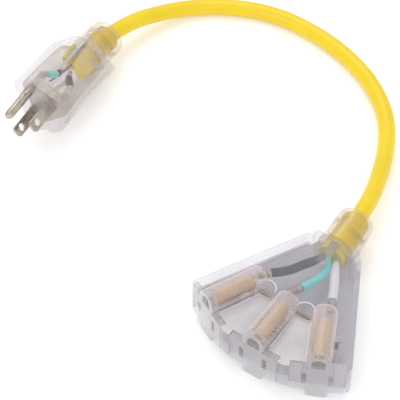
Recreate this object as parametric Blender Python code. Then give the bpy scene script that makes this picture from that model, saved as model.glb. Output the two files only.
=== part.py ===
"""Short extension cord: clear grounded plug, round yellow cord, clear fan-shaped
block with three grounded outlets.  Units in the constants are millimetres; the
built model is in metres, +Z up, outlets facing -Y, cord leaving towards +Y."""
import math
import bpy
import bmesh
from mathutils import Vector, Matrix

MM = 0.001
GAP = 0.3                      # gap between touching pieces

# ---- outlet block -------------------------------------------------------
DY = 0.8                       # puts the origin midway between the outlets and the collar's end
YC = 22.0 + DY                 # outlet axes meet at (0, YC)
FAN = math.radians(25.6)       # angle between neighbouring outlets
R_FACE = 72.0                  # outlet face distance from the meeting point
FACE_T = 3.0                   # outlet face plate thickness
FACE_HW = 13.0                 # outlet face half width
Z_BASE = 5.0                   # underside of the block
Z_SPLIT = 15.0                 # joint between the two shells
Z_TOP = 25.0                   # top of the block
Z_PANEL = 22.4                 # sunk panels between the barrels
Z_ROOF = 20.2                  # ceiling of the wiring space
Z_FLOOR = 7.5                  # floor of the wiring space
WALL = 2.6
SLOT_Z = 14.0                  # height of the blade slots' centre
SLOT_PITCH = 12.7
SLOT_W, SLOT_H = 2.4, 7.6
GROUND_UP = 11.9               # ground hole above the slots
GROUND_R = 3.3
BARREL_R = 6.0
BARREL_Z = SLOT_Z + GROUND_UP
BARREL_R0 = 40.5               # rear end of a barrel from the meeting point
SLEEVE_RO, SLEEVE_RI = 3.3, 2.65
SLEEVE_R0, SLEEVE_R1 = 47.0, 67.6
TONGUE_HW = 5.4

# ---- cord and collars ---------------------------------------------------
CORD_D = 9.0
STUB_R = 7.0
BLOCK_EXIT_Z = 15.0
BLOCK_EXIT_X = -1.2
BLOCK_COLLAR_L = 21.6
BLOCK_LEAN = math.radians(5.9)

# ---- plug ---------------------------------------------------------------
P_O = Vector((-174.36, 12.61 + DY, 21.55))
P_A = Vector((0.1508, -0.9869, 0.0571)).normalized()     # along the blades
P_U = Vector((-0.7648, -0.1530, -0.6259))                # across the blades
P_U = (P_U - P_A * P_U.dot(P_A)).normalized()
P_V = P_U.cross(P_A).normalized()                        # towards the pin
if P_V.z < 0:
    P_V = -P_V
BLADE_L, BLADE_W, BLADE_T = 17.5, 6.35, 1.5
PIN_R, PIN_L = 2.4, 21.0
P_WALL = 3.5
P_REAR = 52.0                  # body length behind the face
P_COLLAR_L = 17.2
P_ROOT_L = 3.6                 # part of the collar gripped in the body
P_EXIT_U, P_EXIT_V = 1.2, -1.8

for o in list(bpy.data.objects):
    bpy.data.objects.remove(o, do_unlink=True)

parts = bpy.data.collections.new("extension_cord")
cutters = bpy.data.collections.new("cutters")
bpy.context.scene.collection.children.link(parts)
bpy.context.scene.collection.children.link(cutters)


# ---- materials ----------------------------------------------------------
def material(name, rgb, rough, metal=0.0, trans=0.0, alpha=1.0):
    m = bpy.data.materials.new(name)
    m.use_nodes = True
    b = m.node_tree.nodes["Principled BSDF"]
    b.inputs["Base Color"].default_value = (*rgb, 1.0)
    b.inputs["Roughness"].default_value = rough
    b.inputs["Metallic"].default_value = metal
    b.inputs["Transmission Weight"].default_value = trans
    b.inputs["Alpha"].default_value = alpha
    m.diffuse_color = (*rgb, alpha)
    return m


def mat_clear(name):
    return material(name, (0.86, 0.86, 0.9), 0.12, trans=0.8, alpha=0.35)


# ---- helpers ------------------------------------------------------------
def link(name, me, mat, coll=None):
    o = bpy.data.objects.new(name, me)
    (coll or parts).objects.link(o)
    if mat is not None:
        me.materials.clear()
        me.materials.append(mat)
    if coll is cutters:
        o.hide_render = True
        o.display_type = "WIRE"
    return o


def bm_to_object(name, bm, mat, coll=None):
    bmesh.ops.recalc_face_normals(bm, faces=bm.faces[:])
    me = bpy.data.meshes.new(name)
    bm.to_mesh(me)
    bm.free()
    return link(name, me, mat, coll)


def box(name, size, centre, rot_z=0.0, mat=None, coll=None, axes=None):
    """A box of the given size (mm); axes gives its own x, y, z directions."""
    bm = bmesh.new()
    bmesh.ops.create_cube(bm, size=1.0)
    s = Matrix.Diagonal((size[0] * MM, size[1] * MM, size[2] * MM, 1.0))
    if axes is None:
        r = Matrix.Rotation(rot_z, 4, "Z")
    else:
        r = Matrix((axes[0], axes[1], axes[2])).transposed().to_4x4()
    t = Matrix.Translation(Vector(centre) * MM)
    bmesh.ops.transform(bm, matrix=t @ r @ s, verts=bm.verts[:])
    return bm_to_object(name, bm, mat, coll)


def frame_from(direction, up=Vector((0, 0, 1))):
    d = Vector(direction).normalized()
    side = up.cross(d)
    if side.length < 1e-6:
        side = Vector((1, 0, 0))
    side.normalize()
    return side, d.cross(side).normalized(), d


def loft(name, rings, mat, coll=None, closed=False):
    """Skin a row of equal rings of points (mm).  closed joins the last ring to
    the first, otherwise the two ends are capped."""
    bm = bmesh.new()
    rows = [[bm.verts.new(Vector(p) * MM) for p in ring] for ring in rings]
    n = len(rows[0])
    last = len(rows) if closed else len(rows) - 1
    for i in range(last):
        a, b = rows[i], rows[(i + 1) % len(rows)]
        for k in range(n):
            bm.faces.new((a[k], a[(k + 1) % n], b[(k + 1) % n], b[k]))
    if not closed:
        bm.faces.new(rows[0])
        bm.faces.new(rows[-1])
    return bm_to_object(name, bm, mat, coll)


def bent_axis(start, direction, lean_dir, lean, bend_len):
    """Centre line that leaves start along direction and turns by lean towards
    lean_dir over bend_len, then runs straight.  Returns f(s) -> point, frame."""
    d0 = Vector(direction).normalized()
    ld = Vector(lean_dir)
    ld = (ld - d0 * ld.dot(d0)).normalized()
    other = d0.cross(ld).normalized()
    steps = 48

    def tangent(s):
        a = lean * min(max(s / bend_len, 0.0), 1.0)
        return d0 * math.cos(a) + ld * math.sin(a)

    def at(s):
        p = Vector(start)
        h = s / steps
        for i in range(steps):
            p += tangent((i + 0.5) * h) * h
        t = tangent(s)
        side = other
        return p, side, t.cross(side).normalized(), t
    return at


def ring_at(axis, s, r, n):
    p, x, y, t = axis(s)
    return [p + x * (r * math.cos(2 * math.pi * k / n)) + y * (r * math.sin(2 * math.pi * k / n))
            for k in range(n)]


def turned(name, axis, profile, n, mat, coll=None, closed=False):
    """profile is a list of (s, r) along the axis; closed makes a ring body."""
    return loft(name, [ring_at(axis, s, r, n) for s, r in profile], mat, coll, closed)


def straight_axis(start, direction, up=Vector((0, 0, 1))):
    x, y, d = frame_from(direction, up)

    def at(s):
        return Vector(start) + d * s, x, y, d
    return at


def outline_object(name, loops, half, bevel, mat, matrix, coll=None, bevel_res=1):
    """Flat outline (first loop) with holes (other loops), extruded half each way
    along its own Z and edge-rounded, then placed by matrix (mm)."""
    cu = bpy.data.curves.new(name, "CURVE")
    cu.dimensions = "2D"
    cu.fill_mode = "BOTH"
    cu.extrude = (half - bevel) * MM
    cu.bevel_depth = bevel * MM
    cu.bevel_resolution = bevel_res
    cu.offset = -bevel * MM
    for pts in loops:
        sp = cu.splines.new("POLY")
        sp.points.add(len(pts) - 1)
        for i, (x, y) in enumerate(pts):
            sp.points[i].co = (x * MM, y * MM, 0.0, 1.0)
        sp.use_cyclic_u = True
    tmp = bpy.data.objects.new(name + "_tmp", cu)
    bpy.context.scene.collection.objects.link(tmp)
    dg = bpy.context.evaluated_depsgraph_get()
    me = bpy.data.meshes.new_from_object(tmp.evaluated_get(dg))
    bpy.data.objects.remove(tmp, do_unlink=True)
    bm = bmesh.new()
    bm.from_mesh(me)
    bmesh.ops.remove_doubles(bm, verts=bm.verts[:], dist=1e-6)
    m = matrix.copy()
    m.translation = m.translation * MM
    bmesh.ops.transform(bm, matrix=m, verts=bm.verts[:])
    return bm_to_object(name, bm, mat, coll)


def cut(target, cutter, op="DIFFERENCE"):
    m = target.modifiers.new(op.lower() + "_" + cutter.name, "BOOLEAN")
    m.operation = op
    m.solver = "EXACT"
    m.object = cutter
    return m


def arc(cx, cy, r, a0, a1, n):
    return [(cx + r * math.cos(a0 + (a1 - a0) * i / n), cy + r * math.sin(a0 + (a1 - a0) * i / n))
            for i in range(n + 1)]


def rounded(points, radii, n=4):
    """Round each corner of a closed polygon by its own radius."""
    out = []
    m = len(points)
    for i in range(m):
        p = Vector(points[i])
        a = (Vector(points[i - 1]) - p)
        b = (Vector(points[(i + 1) % m]) - p)
        r = radii[i]
        if r <= 0:
            out.append((p.x, p.y))
            continue
        la, lb = a.length, b.length
        a.normalize()
        b.normalize()
        half = math.acos(max(-1.0, min(1.0, a.dot(b)))) / 2
        d = min(r / math.tan(half), 0.48 * la, 0.48 * lb)
        r = d * math.tan(half)
        c = p + (a + b).normalized() * (r / math.sin(half))
        s, e = p + a * d - c, p + b * d - c
        a0, a1 = math.atan2(s.y, s.x), math.atan2(e.y, e.x)
        while a1 - a0 > math.pi:
            a1 -= 2 * math.pi
        while a1 - a0 < -math.pi:
            a1 += 2 * math.pi
        out += arc(c.x, c.y, r, a0, a1, n)
    return out


def tube_curve(name, points, r, mat, res=2):
    """Solid round wire or cord through the points (mm)."""
    cu = bpy.data.curves.new(name, "CURVE")
    cu.dimensions = "3D"
    cu.bevel_depth = r * MM
    cu.bevel_resolution = res
    cu.use_fill_caps = True
    sp = cu.splines.new("POLY")
    sp.points.add(len(points) - 1)
    for i, p in enumerate(points):
        sp.points[i].co = (p[0] * MM, p[1] * MM, p[2] * MM, 1.0)
    o = bpy.data.objects.new(name, cu)
    parts.objects.link(o)
    cu.materials.append(mat)
    return o


def smooth_path(ctrl, step, start_dir=None, end_dir=None):
    """Cubic path through control points, resampled at even steps."""
    pts = [Vector(p) for p in ctrl]
    dense = []
    n = len(pts)
    tang = []
    for i in range(n):
        if i == 0:
            t = Vector(start_dir).normalized() * (pts[1] - pts[0]).length if start_dir else pts[1] - pts[0]
        elif i == n - 1:
            t = Vector(end_dir).normalized() * (pts[-1] - pts[-2]).length if end_dir else pts[-1] - pts[-2]
        else:
            t = (pts[i + 1] - pts[i - 1]) / 2
        tang.append(t)
    for i in range(n - 1):
        for k in range(24):
            u = k / 24
            h00 = 2 * u ** 3 - 3 * u ** 2 + 1
            h10 = u ** 3 - 2 * u ** 2 + u
            h01 = -2 * u ** 3 + 3 * u ** 2
            h11 = u ** 3 - u ** 2
            dense.append(pts[i] * h00 + tang[i] * h10 + pts[i + 1] * h01 + tang[i + 1] * h11)
    dense.append(pts[-1])
    total = sum((dense[i + 1] - dense[i]).length for i in range(len(dense) - 1))
    count = max(2, int(round(total / step)))
    out, i, run = [dense[0]], 0, 0.0
    for k in range(1, count):
        goal = total * k / count
        while run + (dense[i + 1] - dense[i]).length < goal:
            run += (dense[i + 1] - dense[i]).length
            i += 1
        f = (goal - run) / (dense[i + 1] - dense[i]).length
        out.append(dense[i].lerp(dense[i + 1], f))
    out.append(dense[-1])
    return out


def shade(o, angle=40.0):
    if o.type == "MESH":
        for p in o.data.polygons:
            p.use_smooth = True
        o.data.set_sharp_from_angle(angle=math.radians(angle))


# outlet frames: b is the outlet's angle; d points out, t to the right
OUTLETS = (("left", -FAN), ("middle", 0.0), ("right", FAN))


def out_dir(b):
    return Vector((math.sin(b), -math.cos(b), 0.0))


def out_side(b):
    return Vector((math.cos(b), math.sin(b), 0.0))


def at_outlet(b, r, t, z):
    p = Vector((0, YC, 0)) + out_dir(b) * r + out_side(b) * t
    return Vector((p.x, p.y, z))


# =========================================================================
# outlet block
# =========================================================================
def block_outline(inset=0.0):
    """Plan of the block: three facets, two straight sides, narrow neck."""
    f = R_FACE - inset
    vy = f * math.tan(FAN / 2)
    # side lines pass through (15.3, 0.4) and (45.2, 58.2) in (side, forward)
    ang = math.radians(27.35)
    n = Vector((math.cos(ang), -math.sin(ang)))          # outward normal, right side
    c = n.dot(Vector((15.3, 0.4))) - inset
    # right facet: forward*cos + side*sin = f ; side line: n.(side, fwd) = c
    m = Matrix(((math.sin(FAN), math.cos(FAN)), (n.x, n.y)))
    corner = m.inverted() @ Vector((f, c))
    back_fwd = 0.4 + inset
    back_side = (c - n.y * back_fwd) / n.x
    neck_w, neck_f = 12.6 - inset, -3.6 + (inset if inset else 0.0)
    right = [(vy, f), (corner.x, corner.y), (back_side, back_fwd), (neck_w, back_fwd - 0.6), (neck_w, neck_f)]
    left = [(-x, y) for x, y in reversed(right)]
    pts = right + left
    rr = [6.0, 3.2, 2.4, 0.6, 2.0]
    radii = rr + list(reversed(rr))
    if inset:
        radii = [max(0.8, r - 0.6 * inset) for r in radii]
    # (side, forward) to world x, y: y = YC - forward
    return rounded([(x, YC - y) for x, y in pts], radii, 4)


def flat_at(z0, z1):
    return Matrix.Translation((0, 0, (z0 + z1) / 2)), (z1 - z0) / 2


m_up, m_low = mat_clear("clear_block_upper"), mat_clear("clear_block_lower")


def block_solid(name, mat):
    m, half = flat_at(Z_BASE, Z_TOP)
    return outline_object(name, [block_outline()], half, 1.5, mat, m, bevel_res=2)


upper = block_solid("block_upper_shell", m_up)
lower = block_solid("block_lower_shell", m_low)

# sunk panels between the barrels
for side in (-1, 1):
    pts = [(6.2, 44.0), (15.0, 44.0)]
    far = Vector((15.0, 44.0)) + Vector((math.sin(FAN), math.cos(FAN))) * 36
    pts += [(far.x, far.y), (6.2, 80.0)]
    poly = [(side * x, YC - y) for x, y in pts]
    m, half = flat_at(Z_PANEL, 40.0)
    c = outline_object("cut_panel_%s" % ("left" if side < 0 else "right"), [poly], half, 0.0, None, m, cutters)
    cut(upper, c)

# barrels over the ground contacts
for tag, b in OUTLETS:
    ax = straight_axis(at_outlet(b, BARREL_R0, 0, BARREL_Z), out_dir(b))
    L = R_FACE - FACE_T - GAP - BARREL_R0
    c = turned("add_barrel_" + tag, ax, [(0.0, BARREL_R - 1.6), (0.5, BARREL_R - 0.5), (1.6, BARREL_R), (L + 2.0, BARREL_R)], 28, None, cutters)
    cut(upper, c, "UNION")

# seats for the outlet faces
for tag, b in OUTLETS:
    d = FACE_T + GAP
    c = box("cut_seat_" + tag, (2 * (FACE_HW + GAP), d + 8, 60), at_outlet(b, R_FACE - d / 2 + 4, 0, 20), b, None, cutters)
    cut(upper, c)
    cut(lower, c)

# wiring space
m, half = flat_at(Z_FLOOR, Z_ROOF)
inner = outline_object("cut_space", [block_outline(WALL)], half, 0.0, None, m, cutters)
cut(upper, inner)
cut(lower, inner)
for tag, b in OUTLETS:
    # bore for the sleeve, well for its tail
    ax = straight_axis(at_outlet(b, SLEEVE_R0 - GAP, 0, BARREL_Z), out_dir(b))
    c = turned("cut_bore_" + tag, ax, [(0, SLEEVE_RO + GAP), (40, SLEEVE_RO + GAP)], 28, None, cutters)
    cut(upper, c)
    c = box("cut_well_" + tag, (5.0, 4.0, 12), at_outlet(b, SLEEVE_R0 + 1.4, 0, 20), b, None, cutters)
    cut(upper, c)

# entry for the cord end
entry = bent_axis((BLOCK_EXIT_X, YC, BLOCK_EXIT_Z), (0, 1, 0), (-1, 0, 0), 0.0, 1.0)
c = turned("cut_entry", entry, [(-12, STUB_R + GAP), (12, STUB_R + GAP)], 28, None, cutters)
cut(upper, c)
cut(lower, c)

# split at mid height
m, half = flat_at(-20.0, Z_SPLIT + GAP / 2)
c = box("cut_below_split", (200, 200, 40), (0, 0, Z_SPLIT + GAP / 2 - 20), 0, None, cutters)
cut(upper, c)
c = box("cut_above_split", (200, 200, 40), (0, 0, Z_SPLIT - GAP / 2 + 20), 0, None, cutters)
cut(lower, c)

# outlet faces: outline in (t, z)
for tag, b in OUTLETS:
    left_top = Z_TOP - 0.3 if tag == "left" else Z_PANEL - 0.3
    right_top = Z_TOP - 0.3 if tag == "right" else Z_PANEL - 0.3
    hw = FACE_HW
    arch = []
    za = BARREL_Z
    aL = math.asin(max(-1, (left_top - za) / BARREL_R))
    aR = math.asin(max(-1, (right_top - za) / BARREL_R))
    arch = arc(0, za, BARREL_R, aR, math.pi - aL, 12)
    outer = rounded([(-TONGUE_HW, 0.0), (TONGUE_HW, 0.0)], [0, 0])
    outer = [(-TONGUE_HW, 1.8), (-TONGUE_HW + 0.5, 0.6), (-TONGUE_HW + 1.8, 0.0), (TONGUE_HW - 1.8, 0.0),
             (TONGUE_HW - 0.5, 0.6), (TONGUE_HW, 1.8), (TONGUE_HW, Z_BASE), (hw, Z_BASE), (hw, right_top)]
    outer += arch + [(-hw, left_top), (-hw, Z_BASE), (-TONGUE_HW, Z_BASE)]
    loops = [outer]
    for s in (-1, 1):
        cx = s * SLOT_PITCH / 2
        loops.append([(cx - SLOT_W / 2, SLOT_Z - SLOT_H / 2), (cx + SLOT_W / 2, SLOT_Z - SLOT_H / 2),
                      (cx + SLOT_W / 2, SLOT_Z + SLOT_H / 2), (cx - SLOT_W / 2, SLOT_Z + SLOT_H / 2)])
    gr = GROUND_R
    hole = arc(0, za, gr, 0, math.pi, 10) + [(-gr, za - gr + 0.8), (-gr + 0.8, za - gr), (gr - 0.8, za - gr), (gr, za - gr + 0.8)]
    loops.append(hole)
    # curve plane (x, y) is (t, z); its Z is out_side x up = -out_dir ... placed by columns
    t, d = out_side(b), out_dir(b)
    rot = Matrix((t, Vector((0, 0, 1)), t.cross(Vector((0, 0, 1))))).transposed().to_4x4()
    mid = at_outlet(b, R_FACE - FACE_T / 2, 0, 0)
    o = outline_object("outlet_face_" + tag, loops, FACE_T / 2, 0.0, mat_clear("clear_face_" + tag),
                       Matrix.Translation(mid) @ rot)
    shade(o, 30)

# ground sleeves with tails down to the bus
for tag, b in OUTLETS:
    ax = straight_axis(at_outlet(b, SLEEVE_R0, 0, BARREL_Z), out_dir(b))
    L = SLEEVE_R1 - SLEEVE_R0
    o = turned("ground_contact_" + tag, ax, [(0, SLEEVE_RO), (L, SLEEVE_RO), (L, SLEEVE_RI), (0, SLEEVE_RI)], 24,
               material("brass_ground_" + tag, (0.83, 0.62, 0.3), 0.3, 1.0), closed=True)
    c = box("cut_slit_" + tag, (0.9, L + 4, 4), at_outlet(b, (SLEEVE_R0 + SLEEVE_R1) / 2 + 2.6, 0, BARREL_Z - 3), b, None, cutters)
    cut(o, c)
    c = box("add_tail_" + tag, (3.4, 1.0, 4.6), at_outlet(b, SLEEVE_R0 + 0.6, 0, BARREL_Z - SLEEVE_RI - 0.3 - 1.9), b, None, cutters)
    cut(o, c, "UNION")
    shade(o)


def strip(name, r0, r1, a0, a1, z0, z1, mat, n=14):
    """Flat arc-shaped bus strip about the meeting point."""
    outer, inner_ = [], []
    for i in range(n + 1):
        a = a0 + (a1 - a0) * i / n
        outer.append((r1 * math.sin(a), YC - r1 * math.cos(a)))
        inner_.append((r0 * math.sin(a), YC - r0 * math.cos(a)))
    m, half = flat_at(z0, z1)
    return outline_object(name, [outer + inner_[::-1]], half, 0.0, mat, m)


TAIL_Z = BARREL_Z - SLEEVE_RI - 0.3 - 1.9 - 2.3
strip("ground_bus", 41.0, 48.3, -FAN - 0.05, FAN + 0.05, TAIL_Z - GAP - 0.8, TAIL_Z - GAP,
      material("brass_bus_ground", (0.8, 0.6, 0.32), 0.35, 1.0))
GB_Z = TAIL_Z - GAP - 0.8
OFF = math.atan2(SLOT_PITCH / 2, 50.0)
strip("neutral_bus", 48.9, 52.4, -FAN + OFF - 0.06, FAN + OFF + 0.06, 16.9, 17.7,
      material("brass_bus_neutral", (0.82, 0.62, 0.34), 0.35, 1.0))
strip("hot_bus", 48.9, 52.4, -FAN - OFF - 0.06, FAN - OFF + 0.06, 8.6, 9.4,
      material("brass_bus_hot", (0.82, 0.62, 0.34), 0.35, 1.0))

# blade contacts: folded leaves, open to the front, closed at the back
for tag, b in OUTLETS:
    for kind, s, z0, z1 in (("hot", -1, 9.7, 16.2), ("neutral", 1, 10.2, 16.6)):
        c0 = s * SLOT_PITCH / 2
        th, gap_in = 0.5, 1.1
        prof = [(-1.9, 67.6), (-1.9 + th, 67.6), (-gap_in / 2, 64.5), (-1.3, 60.0), (-1.3, 51.0), (1.3, 51.0), (1.3, 60.0),
                (gap_in / 2, 64.5), (1.9 - th, 67.6), (1.9, 67.6), (gap_in / 2 + th, 64.7), (1.3 + th, 60.0),
                (1.3 + th, 50.3), (-1.3 - th, 50.3), (-1.3 - th, 60.0), (-gap_in / 2 - th, 64.7)]
        poly = []
        for t, r in prof:
            p = at_outlet(b, r, c0 + t, 0)
            poly.append((p.x, p.y))
        m, half = flat_at(z0, z1)
        outline_object("%s_contact_%s" % (kind, tag), [poly], half, 0.0,
                       material("brass_%s_%s" % (kind, tag), (0.84, 0.64, 0.34), 0.32, 1.0), m)

# crimps and conductors inside the block
ZW = 16.6
BLACK = [(-3.4, 19.8, 15.0), (-4.2, 15.6, ZW - 0.6), (-6.4, 10.6, ZW), (-10.6, 4.4, ZW + 0.4), (-15.0, -0.6, ZW + 0.2), (-19.4, -4.6, ZW - 0.6)]
GREEN = [(0.0, 19.6, 15.4), (0.7, 17.0, ZW - 0.4), (1.6, 13.6, ZW), (3.2, 8.8, ZW), (2.6, 4.2, ZW), (0.2, -0.2, ZW), (-2.2, -4.2, ZW)]
WHITE = [(3.5, 19.8, 15.0), (4.6, 15.8, ZW - 0.6), (6.4, 11.8, ZW - 0.4), (10.0, 5.0, ZW - 0.2), (13.6, -2.0, ZW - 0.6)]
WIRE_R = 1.55
CRIMP_R = 2.0


def wire_and_crimp(prefix, path, rgb, mat_name, wire_name, crimp_name, crimp_len, r=WIRE_R):
    pts = smooth_path([(x + BLOCK_EXIT_X * min(1.0, max(0.0, y / 20.0)), y + DY, z) for x, y, z in path], 3.2)
    tube_curve(wire_name, pts, r, material(mat_name, rgb, 0.4))
    d = (pts[-1] - pts[-2]).normalized()
    ax = straight_axis(pts[-1] + d * GAP, d)
    o = turned(crimp_name, ax, [(0, CRIMP_R), (crimp_len * 0.3, CRIMP_R), (crimp_len * 0.36, CRIMP_R - 0.3),
                                (crimp_len * 0.64, CRIMP_R - 0.3), (crimp_len * 0.7, CRIMP_R), (crimp_len, CRIMP_R - 0.2)], 16,
               material(prefix + "_crimp_metal", (0.72, 0.66, 0.6), 0.35, 1.0))
    shade(o)
    return pts


wire_and_crimp("hot", BLACK, (0.04, 0.045, 0.05), "black_wire", "block_wire_black", "block_crimp_hot", 6.0)
wire_and_crimp("ground", GREEN, (0.12, 0.62, 0.5), "green_wire", "block_wire_green", "block_crimp_ground", 7.0)
wire_and_crimp("neutral", WHITE, (0.85, 0.85, 0.83), "white_wire", "block_wire_white", "block_crimp_neutral", 6.0)

# cord end inside the block and the ringed collar around it
ROOT_Y = YC + 3.6 + GAP                                       # rear face of the neck
b_axis = bent_axis((BLOCK_EXIT_X, ROOT_Y, BLOCK_EXIT_Z), (0, 1, 0), (-1, 0, 0), BLOCK_LEAN, 12.0)
CL = BLOCK_COLLAR_L


def stub_profile(s0, s1, r, rings=10):
    return [(s0 + (s1 - s0) * i / rings, r) for i in range(rings + 1)]


stub = turned("block_jacket_end", b_axis, stub_profile(-5.4, CL - 0.8, STUB_R, 8), 28,
              material("yellow_jacket_block", (0.93, 0.72, 0.05), 0.38))
shade(stub)


def collar(name, axis, length, r0, r1, mat, lip=1.0, root=0.0):
    """Ring body round the cord end, tapering from r0 to r1, with two staggered
    pairs of windows cut through it."""
    bore = STUB_R + GAP
    prof = [(0.0, r0), (length * 0.25, r0 - (r0 - r1) * 0.3), (length * 0.5, r0 - (r0 - r1) * 0.55),
            (length * 0.75, r0 - (r0 - r1) * 0.8), (length - lip, r1), (length - lip * 0.3, r1 - lip * 0.3), (length, r1 - lip),
            (length, bore - 1.0), (length - 0.6, bore - 1.0), (length - 0.6, bore), (length * 0.5, bore), (-root, bore)]
    if root:
        prof += [(-root, bore + 1.5), (0.0, bore + 1.5)]
    o = turned(name, axis, prof, 32, mat, closed=True)
    k = 0
    for frac, turn in ((0.40, 0.0), (0.66, math.pi / 2)):
        for flip in (0, 1):
            s = length * frac
            p, x, y, t = axis(s)
            a = turn + math.pi * flip + math.pi / 4
            n = x * math.cos(a) + y * math.sin(a)
            w = t.cross(n).normalized()
            mid_r = bore + 0.2 + 6.0
            c = box("cut_window_%s_%d" % (name, k), (12.0, 15.0, 2.1), p + n * mid_r, 0, None, cutters, axes=(n, w, t))
            cut(o, c)
            k += 1
    shade(o)
    return o


collar("block_collar", b_axis, CL, 10.5, 9.6, mat_clear("clear_collar_block"))

# =========================================================================
# plug
# =========================================================================
def pl(u, v, a):
    return P_O + P_U * u + P_V * v + P_A * a


def section(a, base_w, base_v, waist_w, waist_v, dome_w, dome_v, top, corner, inset=0.0, cu=0.0, cv=0.0):
    """Plug cross-section: flat base, sides leaning in to a narrow dome over the
    pin.  inset shrinks it towards its middle for the hollow inside."""
    pts = [(-base_w, base_v), (base_w, base_v), (waist_w, waist_v), (dome_w, dome_v), (dome_w * 0.96, top),
           (-dome_w * 0.96, top), (-dome_w, dome_v), (-waist_w, waist_v)]
    if inset:
        pts = [(x - math.copysign(inset, x), y + inset if y == base_v else y - inset) for x, y in pts]
    rad = [corner, corner, 4.0, 3.0, dome_w * 0.9, dome_w * 0.9, 3.0, 4.0]
    return [pl(x + cu, y + cv, a) for x, y in rounded(pts, rad, 4)]


def neck(a, r, up):
    """Round section about the cord's line with the same number of points; up
    stretches its pin side."""
    out = []
    for x, y in rounded([(-1, -1), (1, -1), (1, -0.2), (1, 0.5), (0.6, 1), (-0.6, 1), (-1, 0.5), (-1, -0.2)], [0.3, 0.3, 0.3, 0.3, 0.3, 0.3, 0.3, 0.3], 4):
        th = math.atan2(y, x)
        q = r if y < 0 else math.hypot(r * math.cos(th), up * math.sin(th))
        out.append(pl(P_EXIT_U + q * math.cos(th), P_EXIT_V + q * math.sin(th), a))
    return out


FRONT = (14.2, -11.8, 12.9, 2.0, 6.9, 12.6, 19.8, 2.4)
WAIST_S = (14.4, -10.8, 12.9, 2.0, 7.2, 11.8, 18.9, 2.2)
HEEL = (14.6, -12.2, 13.4, 1.0, 7.8, 9.5, 17.6, 1.8)
FLARE = (15.2, -12.4, 14.2, -1.0, 8.8, 6.0, 13.8, 1.2)
body = loft("plug_body", [section(0.0, *[v * 0.96 for v in FRONT[:6]], FRONT[6] - 0.7, 2.0), section(-0.9, *FRONT), section(-19.0, *WAIST_S),
                          section(-38.5, *HEEL), section(-46.2, *FLARE), neck(-46.9, 11.4, 14.4), neck(-P_REAR, 10.9, 12.2)],
            mat_clear("clear_plug"))
c = loft("cut_plug_space", [section(-P_WALL, *FRONT, inset=2.6), section(-19.0, *WAIST_S, inset=2.6), section(-38.0, *HEEL, inset=3.2),
                            section(-43.4, *FLARE, inset=4.4)], None, cutters)
cut(body, c)
p_in = bent_axis(pl(P_EXIT_U, P_EXIT_V, -30), -P_A, (1, 0, 0), 0.0, 1.0)
c = turned("cut_plug_entry", p_in, [(8.0, STUB_R + GAP), (P_REAR - 30 - P_ROOT_L - GAP, STUB_R + GAP), (P_REAR - 30 - P_ROOT_L - GAP, STUB_R + 1.8 + GAP),
                                    (40.0, STUB_R + 1.8 + GAP)], 28, None, cutters)
cut(body, c)
for tag, u in (("hot", -SLOT_PITCH / 2), ("neutral", SLOT_PITCH / 2)):
    c = box("cut_blade_" + tag, (BLADE_T + 2 * GAP, BLADE_W + 2 * GAP, 12), pl(u, 0, -2), 0, None, cutters, axes=(P_U, P_V, P_A))
    cut(body, c)
ax = straight_axis(pl(0, GROUND_UP, -8), P_A, P_V)
c = turned("cut_pin", ax, [(0, PIN_R + GAP), (14, PIN_R + GAP)], 24, None, cutters)
cut(body, c)
# finger tab below the face
c = loft("add_tab", [[pl(x, v, a) for x, v in ((-6.4, -10.4), (6.4, -10.4), (6.4, -13.2), (4.2, -15.2), (-4.2, -15.2), (-6.4, -13.2))]
                     for a in (-0.5, -6.0)] +
         [[pl(x, v, a) for x, v in ((-5.6, -10.2), (5.6, -10.2), (5.6, -10.6), (4.0, -10.9), (-4.0, -10.9), (-5.6, -10.6))] for a in (-13.0,)],
         None, cutters)
cut(body, c, "UNION")
shade(body, 32)

# blades: chamfered tip, hole, narrower tail
for tag, u in (("hot", -SLOT_PITCH / 2), ("neutral", SLOT_PITCH / 2)):
    w = BLADE_W / 2
    outline = [(-w, -4.6), (-1.7, -5.0), (-1.7, -10.0), (1.7, -10.0), (1.7, -5.0), (w, -4.6), (w, BLADE_L - 1.4), (w - 1.2, BLADE_L),
               (-w + 1.2, BLADE_L), (-w, BLADE_L - 1.4)]
    hole = arc(0, 12.3, 2.0, 0, 2 * math.pi * 15 / 16, 15)
    rot = Matrix((P_V, P_A, P_V.cross(P_A))).transposed().to_4x4()
    o = outline_object("plug_blade_" + tag, [outline, hole], BLADE_T / 2, 0.2,
                       material("nickel_" + tag, (0.62, 0.58, 0.53), 0.28, 1.0), Matrix.Translation(pl(u, 0, 0)) @ rot)
    shade(o, 30)

ax = straight_axis(pl(0, GROUND_UP, -10.0), P_A, P_V)
prof = [(0, 1.5), (4.5, 1.5), (5.2, PIN_R), (10 + PIN_L - 2.6, PIN_R), (10 + PIN_L - 1.3, PIN_R - 0.4), (10 + PIN_L - 0.4, PIN_R - 1.1),
        (10 + PIN_L, PIN_R - 1.7)]
pin = turned("plug_ground_pin", ax, prof, 24, material("nickel_pin", (0.62, 0.58, 0.53), 0.28, 1.0))
gdir = (P_U * -0.87 + P_V * 0.5).normalized()
gw = P_A.cross(gdir).normalized()
c = box("cut_seam", (2.2, 0.8, 26.0), pl(0, GROUND_UP, 15.5) + gdir * 2.35, 0, None, cutters, axes=(gdir, gw, P_A))
cut(pin, c)
shade(pin)

# crimps on the tails, conductors from them to the cord end
STUB_IN = 34.0                 # the jacket starts this far behind the face
W_END = -(STUB_IN - 1.2)


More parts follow.
